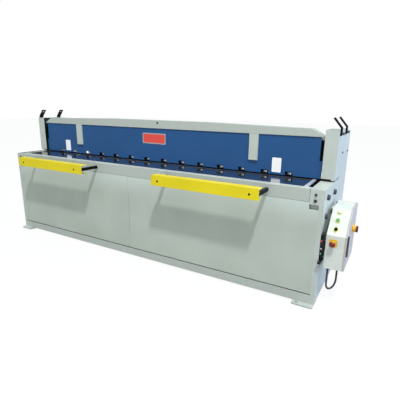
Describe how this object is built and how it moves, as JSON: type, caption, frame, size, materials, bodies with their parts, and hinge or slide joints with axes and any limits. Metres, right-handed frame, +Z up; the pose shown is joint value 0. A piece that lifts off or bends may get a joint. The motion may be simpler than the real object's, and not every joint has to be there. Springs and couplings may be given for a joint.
{
  "type": "hydraulic sheet metal shear",
  "caption": "Floor-standing hydraulic guillotine shear with a long table, notched clamp guard with hold-down feet, yellow front rails, lifting lugs and a side control box.",
  "frame": {"origin": "on the floor, in the middle of the four anchor bolt holes", "axes": "+X along the machine to the side with the control box, +Y to the back, +Z up"},
  "size_m": [3.5033, 1.107, 1.3195],
  "materials": {
    "frame_paint": "grey-green enamel, semi-gloss",
    "panel_paint": "grey-green enamel on folded sheet",
    "ram_paint": "grey-green enamel",
    "guard_paint": "blue enamel, semi-gloss",
    "rail_paint": "yellow enamel",
    "box_paint": "off-white powder coat",
    "door_paint": "off-white powder coat",
    "ground_steel": "ground and oiled steel",
    "bright_steel": "bright ground steel",
    "black_steel": "black enamel",
    "foot_steel": "black oxide",
    "valve_steel": "black oxide",
    "gear_plastic": "matte grey",
    "bezel_plastic": "pale yellow",
    "warning_plastic": "yellow",
    "gland_plastic": "matte black",
    "cable_rubber": "matte black",
    "red_plastic": "red",
    "white_plastic": "white",
    "green_plastic": "green",
    "black_plastic": "matte black"
  },
  "bodies": {
    "frame": {"left_end_plate": "frame_paint", "right_end_plate": "frame_paint", "left_upper_post": "frame_paint", "right_upper_post": "frame_paint", "left_table_block": "frame_paint", "right_table_block": "frame_paint", "table_bed": "ground_steel", "table_apron": "frame_paint", "squaring_bar": "bright_steel", "left_front_panel": "panel_paint", "right_front_panel": "panel_paint", "base_rails": "frame_paint", "foot_plates": "frame_paint", "top_beam": "frame_paint", "clamp_guard": "guard_paint", "guide_straps": "frame_paint", "clamp_beam": "black_steel", "ram": "ram_paint", "ram_cylinders": "black_steel", "upper_blade": "bright_steel", "lower_blade": "bright_steel", "left_front_rail": "rail_paint", "right_front_rail": "rail_paint", "rail_arms": "black_steel", "lifting_lugs": "black_steel", "rear_tie_beam": "frame_paint", "rear_panel": "panel_paint", "drop_chute": "panel_paint", "gauge_arms": "black_steel", "back_gauge": "black_steel", "valve_manifold": "valve_steel", "box_brackets": "box_paint", "control_box": "box_paint", "control_gear": "gear_plastic", "button_bezels": "bezel_plastic", "estop_base": "warning_plastic", "cable_glands": "gland_plastic", "control_cable": "cable_rubber"},
    "holddown": {"holddown_feet": "foot_steel"},
    "box_door": {"box_door": "door_paint", "isolator_plate": "warning_plastic"},
    "isolator_knob": {"isolator_knob": "red_plastic"},
    "estop_button": {"estop_button": "red_plastic"},
    "white_button": {"white_button": "white_plastic"},
    "green_button": {"green_button": "green_plastic"},
    "selector_knob": {"selector_knob": "black_plastic"}
  },
  "joints": [
    {"name": "holddown_slide", "type": "slide", "parent": "frame", "child": "holddown", "axis": [0, 0, 1], "range_m": [-0.01, 0], "stiffness_N_per_m": 9000, "springref_m": 0.03},
    {"name": "door_hinge", "type": "hinge", "parent": "frame", "child": "box_door", "pos_m": [1.80425, 0.019, 0.5], "axis": [0, 0, 1], "range_deg": [0, 110]},
    {"name": "isolator_turn", "type": "hinge", "parent": "box_door", "child": "isolator_knob", "pos_m": [1.84, -0.16, 0.545], "axis": [1, 0, 0], "range_deg": [-90, 0]},
    {"name": "estop_button_press", "type": "slide", "parent": "frame", "child": "estop_button", "axis": [0, 1, 0], "range_m": [0, 0.005], "stiffness_N_per_m": 900, "springref_m": -0.004},
    {"name": "white_button_press", "type": "slide", "parent": "frame", "child": "white_button", "axis": [0, 0.691, -0.7228], "range_m": [0, 0.004], "stiffness_N_per_m": 400, "springref_m": -0.004},
    {"name": "green_button_press", "type": "slide", "parent": "frame", "child": "green_button", "axis": [0, 0.691, -0.7228], "range_m": [0, 0.004], "stiffness_N_per_m": 400, "springref_m": -0.004},
    {"name": "selector_turn", "type": "hinge", "parent": "frame", "child": "selector_knob", "pos_m": [1.728, -0.36381, 0.57968], "axis": [0, -0.691, 0.7228], "range_deg": [-45, 45]}
  ]
}
